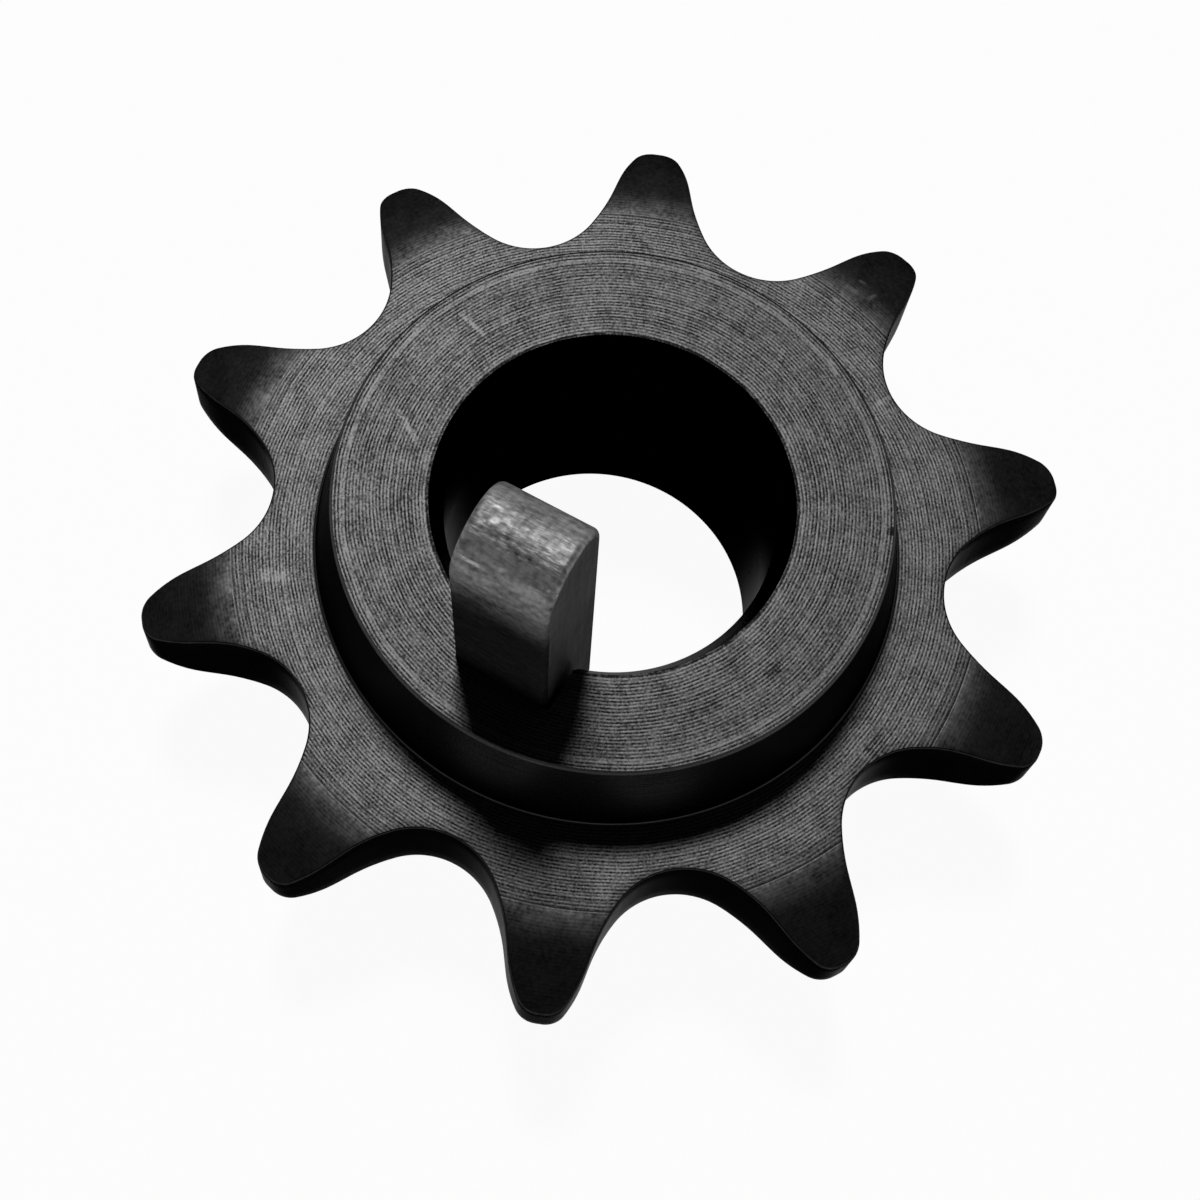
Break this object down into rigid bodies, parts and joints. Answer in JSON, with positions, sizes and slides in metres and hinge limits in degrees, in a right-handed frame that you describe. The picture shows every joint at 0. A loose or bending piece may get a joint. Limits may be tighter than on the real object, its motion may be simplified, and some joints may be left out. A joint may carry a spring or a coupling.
{
  "type": "chain sprocket",
  "caption": "Roller-chain sprocket with a hub on both sides of its toothed plate and a plain keyed bore, with its square, round-ended key standing in the top of the keyway.",
  "frame": {"origin": "centre of the bore on the lower hub face, which is the face the part stands on", "axes": "+Z along the bore towards the hub end where the key stands out, +X from the bore's centre through the middle of the keyway"},
  "size_m": [0.045, 0.0462, 0.0286],
  "materials": {
    "black_steel": "turned steel with a black oxide finish, satin on the faces, smoother on the teeth",
    "key_steel": "plain drawn key steel, sawn and lightly scratched at the end"
  },
  "bodies": {
    "root": {"sprocket": "black_steel", "key": "key_steel"}
  },
  "joints": []
}
